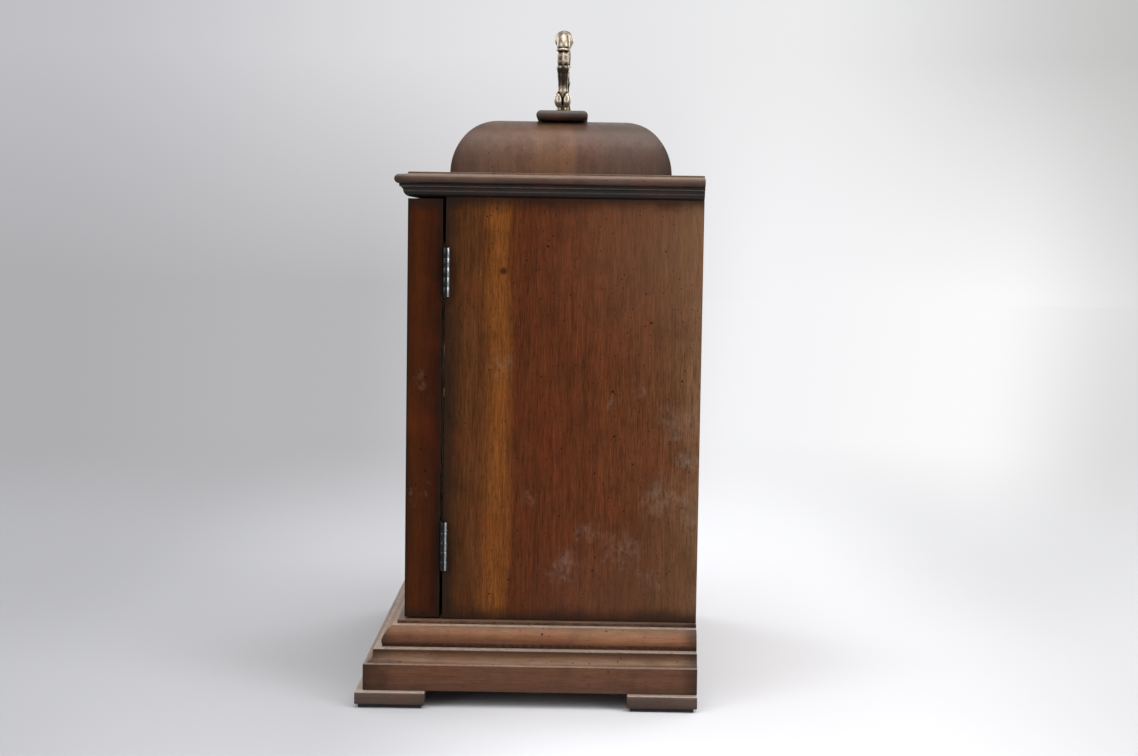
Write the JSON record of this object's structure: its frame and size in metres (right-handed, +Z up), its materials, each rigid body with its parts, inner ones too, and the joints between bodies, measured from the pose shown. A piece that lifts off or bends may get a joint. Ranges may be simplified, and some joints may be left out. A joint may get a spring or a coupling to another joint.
{
  "type": "bracket clock",
  "caption": "Wooden bracket clock with moulded base and crown, bell top and bail handle, glazed front door, rear door, dial with hands, spring-driven wheel train and short pendulum.",
  "frame": {"origin": "middle of the footprint (front feet to case back, foot to foot), on the surface that the felt pads stand on", "axes": "+X to the viewer's right seen from the front, -Y the front, +Z up"},
  "size_m": [0.2592, 0.1772, 0.361],
  "materials": {
    "case_wood": "satin lacquered stained walnut",
    "inner_wood": "plain unfinished pine",
    "plinth_wood": "dark stained wood",
    "felt": "dark felt",
    "glass": "clear glass",
    "aged_brass": "aged cast brass",
    "hinge_steel": "dull steel",
    "clock_brass": "polished brass",
    "silvered_brass": "silvered brass",
    "steel": "bright steel",
    "blued_steel": "blued steel"
  },
  "bodies": {
    "case": {"back_cock": "clock_brass", "base_back_rail": "inner_wood", "base_moulding_front": "case_wood", "base_moulding_returns": "case_wood", "base_panel": "inner_wood", "bell_cap": "case_wood", "bell_mouldings_long": "case_wood", "bell_mouldings_short": "case_wood", "case_bottom_board": "inner_wood", "case_hinge_leaves": "hinge_steel", "case_screws": "hinge_steel", "case_side_left": "case_wood", "case_side_right": "case_wood", "case_top_board": "case_wood", "chapter_ring": "silvered_brass", "click_spring": "steel", "crown_moulding_front": "case_wood", "crown_moulding_returns": "case_wood", "dial_battens": "inner_wood", "dial_feet": "clock_brass", "dial_plate": "clock_brass", "dial_spandrels": "clock_brass", "feet": "case_wood", "felt_pads": "felt", "handle_plinth": "plinth_wood", "handle_posts": "aged_brass", "hinge_pins": "hinge_steel", "movement_back_plate": "clock_brass", "movement_front_plate": "clock_brass", "movement_screws": "steel", "plate_pillars": "clock_brass", "seatboard": "inner_wood"},
    "front_door": {"door_stiles": "case_wood", "door_rails": "case_wood", "door_glass": "glass", "glazing_beads": "case_wood", "door_hinge_leaves": "hinge_steel", "door_screws": "hinge_steel", "door_knob": "aged_brass"},
    "rear_door": {"rear_door_panel": "case_wood", "rear_door_hinge_leaves": "aged_brass", "rear_door_knob": "aged_brass"},
    "handle": {"handle_bail": "aged_brass"},
    "centre_arbor": {"centre_wheel": "clock_brass", "cannon_pinion": "clock_brass", "minute_hand": "blued_steel"},
    "hour_pipe": {"hour_wheel": "clock_brass", "hour_hand": "blued_steel"},
    "minute_wheel": {"minute_wheel": "clock_brass"},
    "intermediate_wheel": {"intermediate_wheel": "clock_brass"},
    "barrel": {"barrel_drum": "clock_brass", "barrel_cap": "clock_brass", "mainspring": "steel"},
    "winding_arbor": {"barrel_arbor": "steel"},
    "click": {"click": "steel"},
    "third_wheel": {"third_wheel": "clock_brass"},
    "escape_wheel": {"escape_wheel": "clock_brass"},
    "pendulum": {"anchor": "steel", "pendulum_rod": "steel", "pendulum_bob": "clock_brass"}
  },
  "joints": [
    {"name": "minute_hand_turn", "type": "hinge", "parent": "case", "child": "centre_arbor", "pos_m": [0, 0, 0.15325], "axis": [0, 1, 0], "continuous": true},
    {"name": "hour_hand_turn", "type": "hinge", "parent": "case", "child": "hour_pipe", "pos_m": [0, 0, 0.15325], "axis": [0, 1, 0], "continuous": true},
    {"name": "minute_wheel_turn", "type": "hinge", "parent": "case", "child": "minute_wheel", "pos_m": [0.01039, 0, 0.15925], "axis": [0, 1, 0], "continuous": true},
    {"name": "intermediate_wheel_turn", "type": "hinge", "parent": "case", "child": "intermediate_wheel", "pos_m": [0.011, 0, 0.13679], "axis": [0, 1, 0], "continuous": true},
    {"name": "barrel_turn", "type": "hinge", "parent": "case", "child": "barrel", "pos_m": [0, 0, 0.10952], "axis": [0, 1, 0], "continuous": true},
    {"name": "third_wheel_turn", "type": "hinge", "parent": "case", "child": "third_wheel", "pos_m": [-0.012, 0, 0.16693], "axis": [0, 1, 0], "continuous": true},
    {"name": "escape_wheel_turn", "type": "hinge", "parent": "case", "child": "escape_wheel", "pos_m": [0, 0, 0.17746], "axis": [0, 1, 0], "continuous": true},
    {"name": "front_door_hinge", "type": "hinge", "parent": "case", "child": "front_door", "pos_m": [0.1082, -0.0447, 0.15325], "axis": [0, 0, 1], "range_deg": [0, 165]},
    {"name": "rear_door_hinge", "type": "hinge", "parent": "case", "child": "rear_door", "pos_m": [0.0921, 0.0865, 0.15325], "axis": [0, 0, -1], "range_deg": [0, 100]},
    {"name": "handle_fold", "type": "hinge", "parent": "case", "child": "handle", "pos_m": [0, 0.0138, 0.3195], "axis": [1, 0, 0], "range_deg": [-100, 100]},
    {"name": "winding", "type": "hinge", "parent": "case", "child": "winding_arbor", "pos_m": [0, 0, 0.10952], "axis": [0, 1, 0], "range_deg": [0, 2340]},
    {"name": "click_lift", "type": "hinge", "parent": "case", "child": "click", "pos_m": [-0.013, 0, 0.11902], "axis": [0, -1, 0], "range_deg": [0, 5], "stiffness_Nm_per_rad": 0.005},
    {"name": "pendulum_swing", "type": "hinge", "parent": "case", "child": "pendulum", "pos_m": [0, 0, 0.19446], "axis": [0, 1, 0], "range_deg": [-5, 5]}
  ],
  "couplings": [
    {"joint": "hour_hand_turn", "follows": "minute_hand_turn", "ratio": 0.083333},
    {"joint": "minute_wheel_turn", "follows": "minute_hand_turn", "ratio": -0.33333},
    {"joint": "intermediate_wheel_turn", "follows": "minute_hand_turn", "ratio": -0.2},
    {"joint": "barrel_turn", "follows": "minute_hand_turn", "ratio": 0.033333},
    {"joint": "third_wheel_turn", "follows": "minute_hand_turn", "ratio": -12},
    {"joint": "escape_wheel_turn", "follows": "minute_hand_turn", "ratio": 156}
  ]
}
